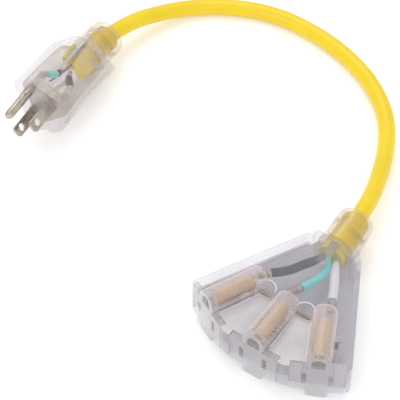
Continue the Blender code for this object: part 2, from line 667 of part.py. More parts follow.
def plug_wire(kind, rgb, u, v, bow, end_uv):
    ax_ = straight_axis(pl(u, v, -10.0 - GAP), -P_A, P_V)
    o = turned("plug_crimp_" + kind, ax_, [(0, 1.7), (1.0, 1.9), (2.4, 1.9), (2.8, 1.6), (4.0, 1.6), (4.4, 1.9), (6.0, 1.9)], 16,
               material("plug_crimp_metal_" + kind, (0.74, 0.68, 0.62), 0.35, 1.0))
    shade(o)
    a0 = -16.0 - 2 * GAP
    pts = smooth_path([pl(u, v, a0), pl(u + bow[0], v + bow[1], a0 - 5), pl((u + end_uv[0]) / 2 + bow[0] * 0.6, (v + end_uv[1]) / 2 + bow[1] * 0.6, a0 - 10),
                       pl(end_uv[0], end_uv[1], W_END)], 2.8, -P_A)
    pts = [pts[0], pts[0] - P_A * 0.8] + pts[1:]
    colour = {"hot": "black", "neutral": "white", "ground": "green"}[kind]
    tube_curve("plug_wire_" + colour, pts, 1.4, material("plug_%s_wire" % colour, rgb, 0.4))


plug_wire("hot", (0.04, 0.045, 0.05), -SLOT_PITCH / 2, 0.0, (-0.6, 1.6), (-2.2, -3.4))
plug_wire("neutral", (0.85, 0.85, 0.83), SLOT_PITCH / 2, 0.0, (0.6, -1.2), (4.4, -3.4))
plug_wire("ground", (0.12, 0.62, 0.5), 0.0, GROUND_UP, (0.6, -0.6), (1.2, 1.6))

P_LEAN = math.radians(10.2)
LEAN_DIR = (P_U * -0.64 + P_V * -0.73)
p_axis = bent_axis(pl(P_EXIT_U, P_EXIT_V, -(P_REAR + GAP)), -P_A, LEAN_DIR, P_LEAN, 14.0)
s0 = -(P_REAR + GAP - STUB_IN)
prof = [(s0, STUB_R - 0.6), (s0 + 0.6, STUB_R)] + stub_profile(-1.0, P_COLLAR_L - 0.8, STUB_R, 6)
stub = turned("plug_jacket_end", p_axis, prof, 28, material("yellow_jacket_plug", (0.93, 0.72, 0.05), 0.38))
shade(stub)
collar("plug_collar", p_axis, P_COLLAR_L, 10.8, 10.5, mat_clear("clear_collar_plug"), root=P_ROOT_L)

# =========================================================================
# cord: leaves both collars level, comes down and lies on the surface
# =========================================================================
ZR = CORD_D / 2 + 0.05
bp, _, _, bt = b_axis(CL + GAP - 0.8)
pp, _, _, pt = p_axis(P_COLLAR_L + GAP - 0.8)
ROUTE = [(-3.8, 56.0, 14.6), (-5.3, 64.8, 13.1), (-7.5, 73.5, 11.2), (-10.2, 82.3, 9.4), (-13.3, 91.2, 7.8), (-16.8, 100.2, 6.3), (-20.9, 109.0, 5.2),
         (-25.4, 117.3, ZR), (-30.6, 124.8, ZR), (-36.4, 131.2, ZR), (-42.7, 136.8, ZR), (-49.5, 141.7, ZR), (-56.5, 146.0, ZR),
         (-71.1, 152.3, ZR), (-86.0, 156.4, ZR), (-100.8, 158.4, ZR), (-115.5, 158.5, ZR), (-129.4, 156.0, ZR), (-142.1, 151.2, ZR),
         (-153.1, 145.1, ZR), (-161.8, 137.8, 5.0), (-169.1, 128.5, 6.5), (-174.9, 117.2, 8.9), (-179.4, 104.5, 11.8), (-181.9, 91.5, 14.0)]


def cord_points(step):
    ctrl = [bp] + [Vector((x, y + DY, z)) for x, y, z in ROUTE] + [pp]
    pts = smooth_path(ctrl, step, bt, -pt)
    # short straight ends, so that both end faces stand square to the collars
    return [pts[0], pts[0] + bt * 1.5] + pts[1:-1] + [pts[-1] + pt * 1.5, pts[-1]]


tube_curve("cord", cord_points(12.0), CORD_D / 2, material("yellow_cord", (0.93, 0.72, 0.05), 0.35), res=3)

for o in (upper, lower):
    shade(o, 32)
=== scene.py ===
import math
import bpy
import bmesh
from mathutils import Matrix, Vector


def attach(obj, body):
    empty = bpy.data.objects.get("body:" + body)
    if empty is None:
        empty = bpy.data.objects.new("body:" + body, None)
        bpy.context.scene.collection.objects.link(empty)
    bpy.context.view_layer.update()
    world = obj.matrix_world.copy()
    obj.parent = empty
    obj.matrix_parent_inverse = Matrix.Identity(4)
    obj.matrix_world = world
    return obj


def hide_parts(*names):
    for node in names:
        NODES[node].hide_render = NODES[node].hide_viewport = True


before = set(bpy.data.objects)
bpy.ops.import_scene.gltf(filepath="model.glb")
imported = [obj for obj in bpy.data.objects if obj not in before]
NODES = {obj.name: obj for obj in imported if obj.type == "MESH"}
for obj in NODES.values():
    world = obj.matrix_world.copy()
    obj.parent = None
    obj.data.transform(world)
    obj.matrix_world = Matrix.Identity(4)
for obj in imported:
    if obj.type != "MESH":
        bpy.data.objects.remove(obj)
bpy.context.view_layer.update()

MM = 0.001
scene = bpy.context.scene

# =========================================================================
# dimensions shared with the CAD model, in millimetres
# =========================================================================
GAP = 0.3
DY = 0.8
YC = 22.0 + DY
FAN = math.radians(25.6)
R_FACE = 72.0
FACE_T = 3.0
FACE_HW = 13.0
Z_BASE = 5.0
Z_TOP = 25.0
Z_PANEL = 22.4
Z_ROOF = 20.2
SLOT_Z = 14.0
SLOT_PITCH = 12.7
GROUND_UP = 11.9
GROUND_R = 3.3
BARREL_R = 6.0
BARREL_Z = SLOT_Z + GROUND_UP
SLEEVE_R0, SLEEVE_R1 = 47.0, 67.6
SLEEVE_RO, SLEEVE_RI = 3.3, 2.65
TONGUE_HW = 5.4
CORD_D = 9.0
STUB_R = 7.0
BLOCK_EXIT_Z = 15.0
BLOCK_EXIT_X = -1.2
BLOCK_COLLAR_L = 21.6
BLOCK_LEAN = math.radians(5.9)
P_O = Vector((-174.36, 12.61 + DY, 21.55))
P_A = Vector((0.1508, -0.9869, 0.0571)).normalized()
P_U = Vector((-0.7648, -0.1530, -0.6259))
P_U = (P_U - P_A * P_U.dot(P_A)).normalized()
P_V = P_U.cross(P_A).normalized()
P_REAR = 52.0
P_COLLAR_L = 17.2
P_ROOT_L = 3.6
P_EXIT_U, P_EXIT_V = 1.2, -1.8
P_LEAN = math.radians(10.2)
OUTLETS = (("left", -FAN), ("middle", 0.0), ("right", FAN))


def out_dir(b):
    return Vector((math.sin(b), -math.cos(b), 0.0))


def out_side(b):
    return Vector((math.cos(b), math.sin(b), 0.0))


def at_outlet(b, r, t, z):
    p = Vector((0, YC, 0)) + out_dir(b) * r + out_side(b) * t
    return Vector((p.x, p.y, z))


def pl(u, v, a):
    return P_O + P_U * u + P_V * v + P_A * a


def bent_axis(start, direction, lean_dir, lean, bend_len):
    d0 = Vector(direction).normalized()
    ld = Vector(lean_dir)
    ld = (ld - d0 * ld.dot(d0)).normalized()
    other = d0.cross(ld).normalized()
    steps = 48

    def tangent(s):
        a = lean * min(max(s / bend_len, 0.0), 1.0)
        return d0 * math.cos(a) + ld * math.sin(a)

    def at(s):
        p = Vector(start)
        h = s / steps
        for i in range(steps):
            p += tangent((i + 0.5) * h) * h
        t = tangent(s)
        return p, other, t.cross(other).normalized(), t
    return at


def smooth_path(ctrl, step, start_dir=None, end_dir=None):
    pts = [Vector(p) for p in ctrl]
    dense, tang = [], []
    n = len(pts)
    for i in range(n):
        if i == 0:
            t = Vector(start_dir).normalized() * (pts[1] - pts[0]).length if start_dir else pts[1] - pts[0]
        elif i == n - 1:
            t = Vector(end_dir).normalized() * (pts[-1] - pts[-2]).length if end_dir else pts[-1] - pts[-2]
        else:
            t = (pts[i + 1] - pts[i - 1]) / 2
        tang.append(t)
    for i in range(n - 1):
        for k in range(24):
            u = k / 24
            dense.append(pts[i] * (2 * u ** 3 - 3 * u ** 2 + 1) + tang[i] * (u ** 3 - 2 * u ** 2 + u)
                         + pts[i + 1] * (-2 * u ** 3 + 3 * u ** 2) + tang[i + 1] * (u ** 3 - u ** 2))
    dense.append(pts[-1])
    total = sum((dense[i + 1] - dense[i]).length for i in range(len(dense) - 1))
    count = max(2, int(round(total / step)))
    out, i, run = [dense[0]], 0, 0.0
    for k in range(1, count):
        goal = total * k / count
        while run + (dense[i + 1] - dense[i]).length < goal:
            run += (dense[i + 1] - dense[i]).length
            i += 1
        f = (goal - run) / (dense[i + 1] - dense[i]).length
        out.append(dense[i].lerp(dense[i + 1], f))
    out.append(dense[-1])
    return out


# =========================================================================
# camera
# =========================================================================
cam_data = bpy.data.cameras.new("camera")
cam_data.lens = 144.0
cam_data.sensor_width = 36.0
cam_data.clip_start = 0.01
cam_data.clip_end = 20.0
cam = bpy.data.objects.new("camera", cam_data)
scene.collection.objects.link(cam)
cam.location = Vector((221.05, -410.07 + DY, 631.23)) * MM
cam.rotation_euler = Vector((-0.3673, 0.5275, -0.766)).to_track_quat("-Z", "Y").to_euler()
scene.camera = cam


# =========================================================================
# materials
# =========================================================================
def new_mat(name):
    m = bpy.data.materials.new(name)
    m.use_nodes = True
    nt = m.node_tree
    b = nt.nodes["Principled BSDF"]
    out = nt.nodes["Material Output"]
    return m, nt, b, out


def coords(nt):
    return nt.nodes.new("ShaderNodeTexCoord").outputs["Object"]


def mapping(nt, src, scale=(1, 1, 1), rot=(0, 0, 0), loc=(0, 0, 0)):
    mp = nt.nodes.new("ShaderNodeMapping")
    nt.links.new(src, mp.inputs["Vector"])
    mp.inputs["Scale"].default_value = scale
    mp.inputs["Rotation"].default_value = rot
    mp.inputs["Location"].default_value = loc
    return mp.outputs["Vector"]


def noise(nt, src, scale, detail=3.0, rough=0.5):
    n = nt.nodes.new("ShaderNodeTexNoise")
    nt.links.new(src, n.inputs["Vector"])
    n.inputs["Scale"].default_value = scale
    n.inputs["Detail"].default_value = detail
    n.inputs["Roughness"].default_value = rough
    return n.outputs["Fac"]


def ramp(nt, src, stops):
    r = nt.nodes.new("ShaderNodeValToRGB")
    nt.links.new(src, r.inputs["Fac"])
    els = r.color_ramp.elements
    while len(els) < len(stops):
        els.new(0.5)
    for e, (p, c) in zip(els, stops):
        e.position = p
        e.color = (*c, 1.0) if len(c) == 3 else c
    return r.outputs["Color"]


def grey(v):
    return (v, v, v)


def math_node(nt, op, a, b=None, c=None, clamp=False):
    n = nt.nodes.new("ShaderNodeMath")
    n.operation = op
    n.use_clamp = clamp
    for i, x in enumerate((a, b, c)):
        if x is None:
            continue
        if isinstance(x, (int, float)):
            n.inputs[i].default_value = x
        else:
            nt.links.new(x, n.inputs[i])
    return n.outputs[0]


def bump(nt, height, strength, dist, normal_in=None):
    b = nt.nodes.new("ShaderNodeBump")
    b.inputs["Strength"].default_value = strength
    b.inputs["Distance"].default_value = dist
    nt.links.new(height, b.inputs["Height"])
    if normal_in is not None:
        nt.links.new(normal_in, b.inputs["Normal"])
    return b.outputs["Normal"]


def plastic(name, rgb, rgb2, rough=0.35, spec=0.5, fine=900.0, coat=0.0, bump_d=0.00006):
    """Moulded or extruded coloured plastic: faint mottling, fine surface grain."""
    m, nt, b, out = new_mat(name)
    co = coords(nt)
    f = noise(nt, co, 60.0, 4.0)
    nt.links.new(ramp(nt, f, [(0.3, rgb), (0.7, rgb2)]), b.inputs["Base Color"])
    g = noise(nt, co, fine, 2.0)
    nt.links.new(ramp(nt, g, [(0.3, grey(rough - 0.05)), (0.7, grey(rough + 0.07))]), b.inputs["Roughness"])
    nt.links.new(bump(nt, g, 0.35, bump_d), b.inputs["Normal"])
    b.inputs["Specular IOR Level"].default_value = spec
    b.inputs["Coat Weight"].default_value = coat
    b.inputs["Coat Roughness"].default_value = 0.15
    return m


def metal(name, rgb, rgb2, rough, axis, streak=(4000.0, 4000.0, 120.0), bump_d=0.00003, ribs=None, rib_d=0.0002, metallic=1.0):
    """Drawn or rolled metal with streaks along axis (a direction in the row
    frame); ribs is a spacing in metres for fine rings across the axis."""
    m, nt, b, out = new_mat(name)
    b.inputs["Metallic"].default_value = metallic
    q = Vector(axis).normalized().rotation_difference(Vector((0, 0, 1))).to_euler()
    co = mapping(nt, coords(nt), rot=q)
    st = mapping(nt, co, scale=streak)
    f = noise(nt, st, 1.0, 3.0)
    h = noise(nt, co, 140.0, 3.0)
    mix = math_node(nt, "ADD", math_node(nt, "MULTIPLY", f, 0.5), math_node(nt, "MULTIPLY", h, 0.5))
    col = ramp(nt, mix, [(0.35, rgb), (0.65, rgb2)])
    nt.links.new(col, b.inputs["Base Color"])
    nt.links.new(ramp(nt, f, [(0.3, grey(rough - 0.06)), (0.7, grey(rough + 0.08))]), b.inputs["Roughness"])
    nrm = bump(nt, f, 0.4, bump_d)
    if ribs:
        w = nt.nodes.new("ShaderNodeTexWave")
        w.wave_type = "BANDS"
        w.bands_direction = "Z"
        w.wave_profile = "SIN"
        nt.links.new(co, w.inputs["Vector"])
        w.inputs["Scale"].default_value = 0.314 / ribs
        nrm = bump(nt, w.outputs["Fac"], 0.9, rib_d, nrm)
    nt.links.new(nrm, b.inputs["Normal"])
    return m


def waves(nt, src, spacing, direction="X"):
    w = nt.nodes.new("ShaderNodeTexWave")
    w.wave_type = "BANDS"
    w.bands_direction = direction
    w.wave_profile = "SIN"
    nt.links.new(src, w.inputs["Vector"])
    w.inputs["Scale"].default_value = 0.314 / spacing
    return w.outputs["Fac"]


def clear(name, tint=(0.90, 0.895, 0.91), body=(0.60, 0.585, 0.63), low=0.16, high=0.75, power=2.0, rough=0.16, gloss=0.8, back=0.35,
          wavy=0.00010, grain=None, haze=None, hatch=None, warm=None, frost=None, raise_z=None):
    """Clear moulded plastic.  What lies behind shows through face on; turned
    away surfaces go to the plastic's own grey, with soft gloss over all.
    haze is (scale, amount) of cloudiness, hatch is (spacing, turn, amount) of
    fine moulded lines, warm a second body colour that drifts in and out."""
    m, nt, b, out = new_mat(name)
    co = coords(nt)
    b.inputs["Specular IOR Level"].default_value = 0.3
    big = noise(nt, co, 70.0, 2.0)
    nrm = bump(nt, big, 0.6, wavy)
    fine = noise(nt, co, 1400.0, 2.0)
    nt.links.new(ramp(nt, fine, [(0.3, grey(rough)), (0.75, grey(rough + 0.08))]), b.inputs["Roughness"])
    if grain:
        nrm = bump(nt, noise(nt, co, grain, 3.0), 0.5, 0.0001, nrm)
    lines = None
    if hatch:
        spacing, turn, amount = hatch
        la = waves(nt, mapping(nt, co, rot=(0, 0, turn)), spacing)
        lb = waves(nt, mapping(nt, co, rot=(0, 0, turn + 1.2)), spacing * 1.15)
        lines = math_node(nt, "ADD", math_node(nt, "MULTIPLY", la, 0.65), math_node(nt, "MULTIPLY", lb, 0.35))
        nrm = bump(nt, lines, 0.5, 0.00004, nrm)
    nt.links.new(nrm, b.inputs["Normal"])
    col = noise(nt, co, 38.0, 3.0)
    shade = ramp(nt, col, [(0.32, warm or tuple(c * 0.94 for c in body)), (0.62, body)])
    raised = None
    if raise_z:
        # parts that stand above a height take a warmer, milkier tone
        hz_ = nt.nodes.new("ShaderNodeSeparateXYZ")
        nt.links.new(co, hz_.inputs[0])
        raised = math_node(nt, "GREATER_THAN", hz_.outputs["Z"], raise_z[0])
        mc = nt.nodes.new("ShaderNodeMix")
        mc.data_type = "RGBA"
        nt.links.new(raised, mc.inputs["Factor"])
        nt.links.new(shade, mc.inputs["A"])
        mc.inputs["B"].default_value = (*raise_z[2], 1.0)
        shade = mc.outputs["Result"]
    nt.links.new(shade, b.inputs["Base Color"])
    tr = nt.nodes.new("ShaderNodeBsdfTransparent")
    tr.inputs["Color"].default_value = (*tint, 1.0)
    lw = nt.nodes.new("ShaderNodeLayerWeight")
    lw.inputs["Blend"].default_value = 0.5
    nt.links.new(nrm, lw.inputs["Normal"])
    face = lw.outputs["Facing"]
    behind = nt.nodes.new("ShaderNodeNewGeometry").outputs["Backfacing"]
    f = math_node(nt, "MULTIPLY_ADD", math_node(nt, "POWER", face, power), high - low, low)
    if lines is not None:
        f = math_node(nt, "ADD", f, math_node(nt, "MULTIPLY", math_node(nt, "SUBTRACT", lines, 0.5), amount), clamp=True)
    if haze:
        hz = noise(nt, co, haze[0], 4.0)
        f = math_node(nt, "ADD", f, math_node(nt, "MULTIPLY", math_node(nt, "SUBTRACT", hz, 0.4), haze[1]), clamp=True)
    if raised is not None:
        f = math_node(nt, "ADD", f, math_node(nt, "MULTIPLY", raised, raise_z[1]), clamp=True)
    if frost:
        # level faces between two heights are frosted over
        lo, hi, amount = frost
        sep = nt.nodes.new("ShaderNodeSeparateXYZ")
        nt.links.new(co, sep.inputs[0])
        up = nt.nodes.new("ShaderNodeSeparateXYZ")
        nt.links.new(nt.nodes.new("ShaderNodeNewGeometry").outputs["Normal"], up.inputs[0])
        band = math_node(nt, "MULTIPLY", math_node(nt, "GREATER_THAN", sep.outputs["Z"], lo), math_node(nt, "LESS_THAN", sep.outputs["Z"], hi))
        band = math_node(nt, "MULTIPLY", band, math_node(nt, "GREATER_THAN", math_node(nt, "ABSOLUTE", up.outputs["Z"]), 0.8))
        cloud = math_node(nt, "MULTIPLY_ADD", noise(nt, co, 90.0, 4.0), 0.35, amount)
        f = math_node(nt, "ADD", f, math_node(nt, "MULTIPLY", band, cloud), clamp=True)
    f = math_node(nt, "MULTIPLY", f, math_node(nt, "MULTIPLY_ADD", behind, back - 1.0, 1.0), clamp=True)
    mix = nt.nodes.new("ShaderNodeMixShader")
    nt.links.new(f, mix.inputs["Fac"])
    nt.links.new(tr.outputs[0], mix.inputs[1])
    nt.links.new(b.outputs[0], mix.inputs[2])
    gl = nt.nodes.new("ShaderNodeBsdfGlossy")
    gl.inputs["Roughness"].default_value = rough
    gl.inputs["Color"].default_value = (1, 1, 1, 1)
    nt.links.new(nrm, gl.inputs["Normal"])
    g = math_node(nt, "MULTIPLY_ADD", math_node(nt, "POWER", face, 5.0), 0.5, 0.04)
    g = math_node(nt, "MULTIPLY", g, math_node(nt, "MULTIPLY_ADD", behind, -0.8 * gloss, gloss), clamp=True)
    mix2 = nt.nodes.new("ShaderNodeMixShader")
    nt.links.new(g, mix2.inputs["Fac"])
    nt.links.new(mix.outputs[0], mix2.inputs[1])
    nt.links.new(gl.outputs[0], mix2.inputs[2])
    nt.links.new(mix2.outputs[0], out.inputs["Surface"])
    return m


def put(node, mat):
    me = NODES[node].data
    for s in NODES[node].material_slots:
        s.link = "OBJECT"
        s.material = mat


YELLOW = plastic("yellow_jacket", (0.74, 0.54, 0.001), (0.84, 0.62, 0.002), 0.34, 0.5, 1100.0)
BLACK = plastic("black_insulation", (0.006, 0.009, 0.010), (0.016, 0.021, 0.024), 0.45, 0.2, 1500.0)
GREEN = plastic("green_insulation", (0.13, 0.76, 0.70), (0.20, 0.88, 0.82), 0.32, 0.5, 1500.0)
WHITE = plastic("white_insulation", (0.92, 0.92, 0.91), (0.97, 0.97, 0.96), 0.35, 0.5, 1500.0)
CRIMP_PALE = metal("crimp_pale", (0.56, 0.50, 0.46), (0.72, 0.66, 0.62), 0.4, P_A, metallic=0.2)
CRIMP = metal("crimp_tin", (0.40, 0.32, 0.27), (0.56, 0.47, 0.41), 0.5, (0, 1, 0), metallic=0.35)
NICKEL = metal("nickel_plate", (0.38, 0.34, 0.29), (0.62, 0.565, 0.49), 0.22, P_A)
BUS = metal("tinned_strip", (0.52, 0.50, 0.50), (0.60, 0.58, 0.58), 0.5, (1, 0, 0), metallic=0.3)
LEAF = metal("brass_leaf", (0.50, 0.44, 0.38), (0.62, 0.56, 0.50), 0.45, (0, 0, 1), metallic=0.3)
SHELL = clear("clear_shell", tint=(0.905, 0.90, 0.92), body=(0.62, 0.60, 0.62), low=0.04, high=0.8, power=1.6, hatch=(0.0011, 0.45, 0.26), gloss=0.6,
              frost=(0.0218, 0.0236, 0.45), raise_z=(0.0252, 0.16, (0.80, 0.66, 0.60)))
SHELL_LOW = clear("clear_shell_low", tint=(0.89, 0.885, 0.905), body=(0.58, 0.565, 0.60), low=0.40, high=0.85, back=0.6, gloss=0.5)
FACE = clear("clear_face", tint=(0.92, 0.915, 0.925), body=(0.60, 0.585, 0.60), low=0.26, high=0.85, rough=0.1)
COLLAR = clear("clear_collar", tint=(0.97, 0.95, 0.88), body=(0.50, 0.44, 0.38), low=0.01, high=0.95, power=1.5, rough=0.09, gloss=1.3)
PLUG = clear("clear_plug", tint=(0.945, 0.935, 0.935), body=(0.64, 0.615, 0.625), low=0.03, high=0.95, power=1.3, rough=0.18, haze=(110.0, 0.14), grain=600.0,
             warm=(0.56, 0.51, 0.49), gloss=0.6)
# pale clear for the painted highlight band along the plug's side crease, also used for the pale wire cores
RIDGE_HIGHLIGHT_AND_CORE = clear("clear_ridge_highlight_and_core", body=(0.64, 0.61, 0.60), low=0.75, high=0.9, rough=0.2)
BRIDGE = clear("clear_bridge", tint=(0.95, 0.94, 0.94), body=(0.66, 0.63, 0.62), low=0.45, high=0.8, rough=0.25, haze=(260.0, 0.5), warm=(0.62, 0.54, 0.47))
# painted highlight: pale, mostly opaque clear for thin tubes that stand in for glints along edges
GLINT = clear("painted_glint_edge", body=(0.88, 0.87, 0.86), low=0.7, high=0.9, rough=0.15)
# painted shade: dark brown for the lens plates that stand in for shade and dark reflection at the inner ends of the
# recesses
RECESS_PAINTED_SHADE = plastic("shaded_recess", (0.22, 0.165, 0.12), (0.32, 0.25, 0.20), 0.4, 0.5, 900.0)

for tag, b in OUTLETS:
    put("ground_contact_" + tag, metal("brass_sleeve_" + tag, (0.62, 0.43, 0.20), (0.86, 0.68, 0.44), 0.42, out_dir(b), ribs=0.0012, metallic=0.35))
    put("hot_contact_" + tag, LEAF)
    put("neutral_contact_" + tag, LEAF)
    put("outlet_face_" + tag, FACE)
for n in ("ground_bus", "neutral_bus", "hot_bus"):
    put(n, BUS)
for n in NODES:
    if "crimp" in n:
        put(n, CRIMP)
    elif "wire_black" in n:
        put(n, BLACK)
    elif "wire_green" in n:
        put(n, GREEN)
    elif "wire_white" in n:
        put(n, WHITE)
for n in ("plug_blade_hot", "plug_blade_neutral", "plug_ground_pin"):
    put(n, NICKEL)
put("block_upper_shell", SHELL)
put("block_lower_shell", SHELL_LOW)
put("plug_body", PLUG)
put("block_collar", COLLAR)
put("plug_collar", COLLAR)
put("block_jacket_end", YELLOW)
put("plug_jacket_end", YELLOW)

# =========================================================================
# cord
# =========================================================================
ROOT_Y = YC + 3.6 + GAP
b_axis = bent_axis((BLOCK_EXIT_X, ROOT_Y, BLOCK_EXIT_Z), (0, 1, 0), (-1, 0, 0), BLOCK_LEAN, 12.0)
LEAN_DIR = (P_U * -0.64 + P_V * -0.73)
p_axis = bent_axis(pl(P_EXIT_U, P_EXIT_V, -(P_REAR + GAP)), -P_A, LEAN_DIR, P_LEAN, 14.0)
ZR = CORD_D / 2 + 0.05
bp, _, _, bt = b_axis(BLOCK_COLLAR_L + GAP - 0.8)
pp, _, _, pt = p_axis(P_COLLAR_L + GAP - 0.8)
ROUTE = [(-3.8, 56.0, 14.6), (-5.3, 64.8, 13.1), (-7.5, 73.5, 11.2), (-10.2, 82.3, 9.4), (-13.3, 91.2, 7.8), (-16.8, 100.2, 6.3), (-20.9, 109.0, 5.2),
         (-25.4, 117.3, ZR), (-30.6, 124.8, ZR), (-36.4, 131.2, ZR), (-42.7, 136.8, ZR), (-49.5, 141.7, ZR), (-56.5, 146.0, ZR),
         (-71.1, 152.3, ZR), (-86.0, 156.4, ZR), (-100.8, 158.4, ZR), (-115.5, 158.5, ZR), (-129.4, 156.0, ZR), (-142.1, 151.2, ZR),
         (-153.1, 145.1, ZR), (-161.8, 137.8, 5.0), (-169.1, 128.5, 6.5), (-174.9, 117.2, 8.9), (-179.4, 104.5, 11.8), (-181.9, 91.5, 14.0)]


def mesh_object(name, bm, mat, smooth=True, angle=40.0):
    bmesh.ops.recalc_face_normals(bm, faces=bm.faces[:])
    me = bpy.data.meshes.new(name)
    bm.to_mesh(me)
    bm.free()
    o = bpy.data.objects.new(name, me)
    scene.collection.objects.link(o)
    me.materials.append(mat)
    if smooth:
        for p in me.polygons:
            p.use_smooth = True
        me.set_sharp_from_angle(angle=math.radians(angle))
    return o


def tube_mesh(name, pts, radius, mat, n=40):
    """Round tube through pts (mm) with rings carried along without twist and flat capped ends."""
    pts = [Vector(p) for p in pts]
    tang = []
    for i in range(len(pts)):
        a = pts[max(0, i - 1)]
        c = pts[min(len(pts) - 1, i + 1)]
        tang.append((c - a).normalized())
    x = tang[0].orthogonal().normalized()
    rings = []
    for i, p in enumerate(pts):
        if i:
            x = tang[i - 1].rotation_difference(tang[i]) @ x
        x = (x - tang[i] * x.dot(tang[i])).normalized()
        y = tang[i].cross(x)
        r = radius(i) if callable(radius) else radius
        rings.append([p + x * (r * math.cos(2 * math.pi * k / n)) + y * (r * math.sin(2 * math.pi * k / n)) for k in range(n)])
    bm = bmesh.new()
    rows = [[bm.verts.new(q * MM) for q in ring] for ring in rings]
    for a, c in zip(rows, rows[1:]):
        for k in range(n):
            bm.faces.new((a[k], a[(k + 1) % n], c[(k + 1) % n], c[k]))
    bm.faces.new(rows[0])
    bm.faces.new(rows[-1])
    return mesh_object(name, bm, mat)


cord_pts = smooth_path([bp] + [Vector((x, y + DY, z)) for x, y, z in ROUTE] + [pp], 2.0, bt, -pt)
CORD_MAT = plastic("yellow_cord", (0.76, 0.55, 0.003), (0.82, 0.60, 0.006), 0.36, 0.5, 1100.0)
cord = tube_mesh("cord_jacket", cord_pts, CORD_D / 2, CORD_MAT, 48)
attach(cord, "root")
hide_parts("cord")


# =========================================================================
# details inside the block
# =========================================================================
def piece(o, replaces=None):
    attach(o, "root")
    if replaces:
        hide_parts(replaces)
    return o


def fwd(x, f, z):
    return Vector((x, YC - f, z))


ZW = 16.6


def conductor(name, pts, mat, node, r=2.1):
    line = smooth_path([fwd(*p) for p in pts], 0.7)
    n = len(line)
    return piece(tube_mesh(name, line, lambda i: r * min(1.0, 0.7 + 0.3 * min(i / (0.3 * n), 1.0)), mat, 24), node)


conductor("black_conductor", [(-4.3, 2.4, 15.2), (-5.9, 8.0, ZW - 0.4), (-7.8, 11.7, ZW), (-9.8, 15.2, ZW + 0.2), (-12.0, 19.4, ZW + 0.2), (-15.6, 23.6, ZW),
                              (-19.2, 26.3, ZW - 0.6)], BLACK, "block_wire_black", 2.25)
conductor("green_conductor", [(-1.2, 2.6, 15.6), (0.4, 6.6, ZW - 0.2), (1.8, 11.8, ZW), (1.0, 17.6, ZW), (-0.7, 22.0, ZW), (-2.2, 26.1, ZW)],
          GREEN, "block_wire_green", 2.0)
conductor("white_conductor", [(2.6, 2.6, 15.0), (5.6, 8.4, ZW - 0.6), (8.6, 13.8, ZW - 0.4), (11.2, 18.8, ZW - 0.2), (13.4, 23.6, ZW - 0.6)],
          WHITE, "block_wire_white", 2.3)


def plate(name, outline, z0, z1, mat):
    bm = bmesh.new()
    low = [bm.verts.new(fwd(x, f, z0) * MM) for x, f in outline]
    high = [bm.verts.new(fwd(x, f, z1) * MM) for x, f in outline]
    n = len(outline)
    bm.faces.new(low)
    bm.faces.new(high)
    for i in range(n):
        bm.faces.new((low[i], low[(i + 1) % n], high[(i + 1) % n], high[i]))
    return piece(mesh_object(name, bm, mat))


def lens(cx, cf, half, depth, turn):
    pts = []
    for k in range(24):
        a = 2 * math.pi * k / 24
        x, y = half * math.cos(a), depth * math.sin(a) * (1.0 - 0.25 * math.cos(a) ** 2)
        pts.append((cx + x * math.cos(turn) - y * math.sin(turn), cf + x * math.sin(turn) + y * math.cos(turn)))
    return pts


# the brown lens plates are painted shade and dark reflection, not parts; the pale tubes along each recess's dome and
# rim are painted highlights
for tag, cx, cf, turn in (("left", -12.9, 43.0, 0.10), ("right", 9.2, 43.6, -0.06)):
    plate("recess_shade_" + tag, lens(cx, cf, 4.4, 1.5, turn), 22.6, 23.4, RECESS_PAINTED_SHADE)
    dome = [fwd(cx + 5.0 * math.cos(a), cf - 1.2 - 5.2 * math.sin(a), 25.1) for a in (0.15, 0.6, 1.1, 1.57, 2.0, 2.5, 3.0)]
    piece(tube_mesh("recess_dome_glint_" + tag, smooth_path(dome, 0.6), 0.32, GLINT, 12))
    rim = [fwd(cx + 4.7 * math.cos(a), cf + 1.7 * math.sin(a), 22.9) for a in (-0.1, 0.5, 1.1, 1.7, 2.3, 2.9, 3.24)]
    piece(tube_mesh("recess_rim_glint_" + tag, smooth_path(rim, 0.6), 0.28, GLINT, 12))
# pale tubes along the barrel feet are painted highlights
for k, (b, side) in enumerate(((-FAN, 1), (0.0, -1), (0.0, 1), (FAN, -1))):
    edge = [at_outlet(b, r, side * 6.35, 22.75) for r in (46.0, 52.0, 58.0, 64.0, 67.5)]
    piece(tube_mesh("barrel_foot_glint_%d" % k, smooth_path(edge, 1.2), 0.32, GLINT, 12))

# =========================================================================
# details inside the plug
# =========================================================================
def polar(theta, a, r):
    t = math.radians(theta)
    return pl(P_EXIT_U + r * math.cos(t), P_EXIT_V + r * math.sin(t), a)


TORN = [(0, -41), (30, -39), (62, -36.5), (80, -36.0), (88, -40), (93, -49), (117, -49.5), (121, -38), (128, -35.0), (145, -32.6), (160, -31.0), (176, -30.0), (190, -30.6),
        (200, -30.2), (209, -31.5), (216, -36.5), (222, -34.0), (228, -41.0), (234, -49), (262, -50), (300, -49), (330, -44), (360, -41)]


def torn_front(theta):
    for (t0, a0), (t1, a1) in zip(TORN, TORN[1:]):
        if t0 <= theta <= t1:
            f = (theta - t0) / (t1 - t0)
            return a0 + (a1 - a0) * f
    return TORN[-1][1]


